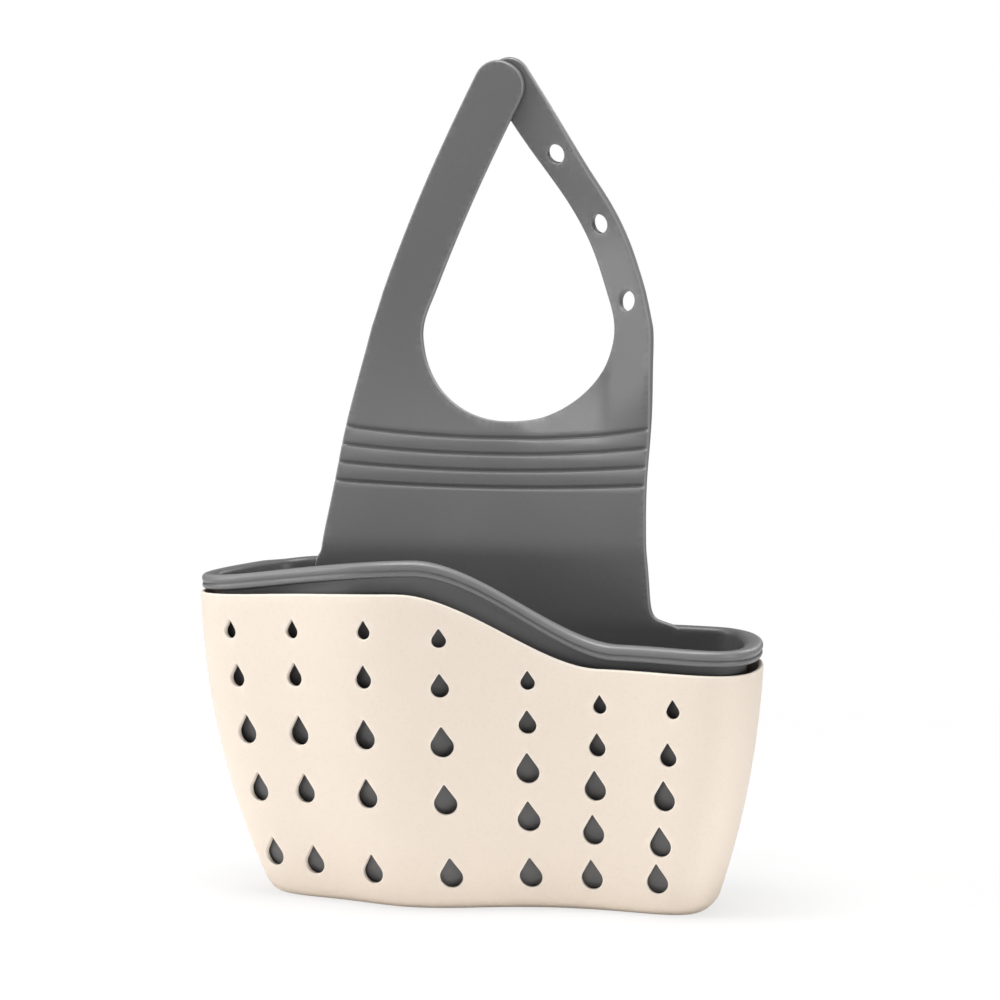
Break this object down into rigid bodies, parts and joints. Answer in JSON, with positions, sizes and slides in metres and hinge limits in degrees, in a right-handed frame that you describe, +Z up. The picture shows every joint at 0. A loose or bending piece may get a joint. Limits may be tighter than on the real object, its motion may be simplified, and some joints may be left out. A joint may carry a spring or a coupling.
{
  "type": "kitchen sink caddy",
  "caption": "Hanging sink caddy: perforated wavy-rimmed outer basket, nested soft liner basket, and a folding strap whose crossed arms button into a hanging loop.",
  "frame": {"origin": "on the flat underside of the outer basket, under the middle of its width", "axes": "+Z up, -Y towards the wavy front, +X towards the low side of the rim"},
  "size_m": [0.161, 0.0937, 0.2352],
  "materials": {
    "shell_plastic": "matte moulded polypropylene",
    "liner_rubber": "satin soft thermoplastic rubber"
  },
  "bodies": {
    "shell": {"outer_basket": "shell_plastic"},
    "liner": {"inner_basket": "liner_rubber"},
    "rib_lower": {"hinge_rib_lower": "liner_rubber"},
    "rib_middle": {"hinge_rib_middle": "liner_rubber"},
    "rib_upper": {"hinge_rib_upper": "liner_rubber"},
    "yoke": {"strap_yoke": "liner_rubber"},
    "front_arm": {"front_arm": "liner_rubber", "snap_stud": "liner_rubber"},
    "rear_arm": {"rear_arm": "liner_rubber"}
  },
  "joints": [
    {"name": "liner_lift", "type": "slide", "parent": "shell", "child": "liner", "axis": [0, 0, 1], "range_m": [0, 0.095]},
    {"name": "groove_1", "type": "hinge", "parent": "liner", "child": "rib_lower", "pos_m": [-0.0082, 0.03416, 0.11283], "axis": [-1, 0, 0], "range_deg": [0, 22], "stiffness_Nm_per_rad": 0.6},
    {"name": "groove_2", "type": "hinge", "parent": "rib_lower", "child": "rib_middle", "pos_m": [-0.0082, 0.03627, 0.11757], "axis": [-1, 0, 0], "range_deg": [0, 22], "stiffness_Nm_per_rad": 0.6},
    {"name": "groove_3", "type": "hinge", "parent": "rib_middle", "child": "rib_upper", "pos_m": [-0.0082, 0.03847, 0.1223], "axis": [-1, 0, 0], "range_deg": [0, 22], "stiffness_Nm_per_rad": 0.6},
    {"name": "groove_4", "type": "hinge", "parent": "rib_upper", "child": "yoke", "pos_m": [-0.0082, 0.04074, 0.12704], "axis": [-1, 0, 0], "range_deg": [0, 22], "stiffness_Nm_per_rad": 0.6},
    {"name": "front_arm_flex", "type": "hinge", "parent": "yoke", "child": "front_arm", "pos_m": [-0.04101, 0.05085, 0.15835], "axis": [1, 0, 0], "range_deg": [0, 50], "stiffness_Nm_per_rad": 0.25, "deforming": ["snap_stud"]},
    {"name": "rear_arm_flex", "type": "hinge", "parent": "yoke", "child": "rear_arm", "pos_m": [0.0286, 0.05298, 0.15835], "axis": [-1, 0, 0], "range_deg": [0, 50], "stiffness_Nm_per_rad": 0.25}
  ]
}
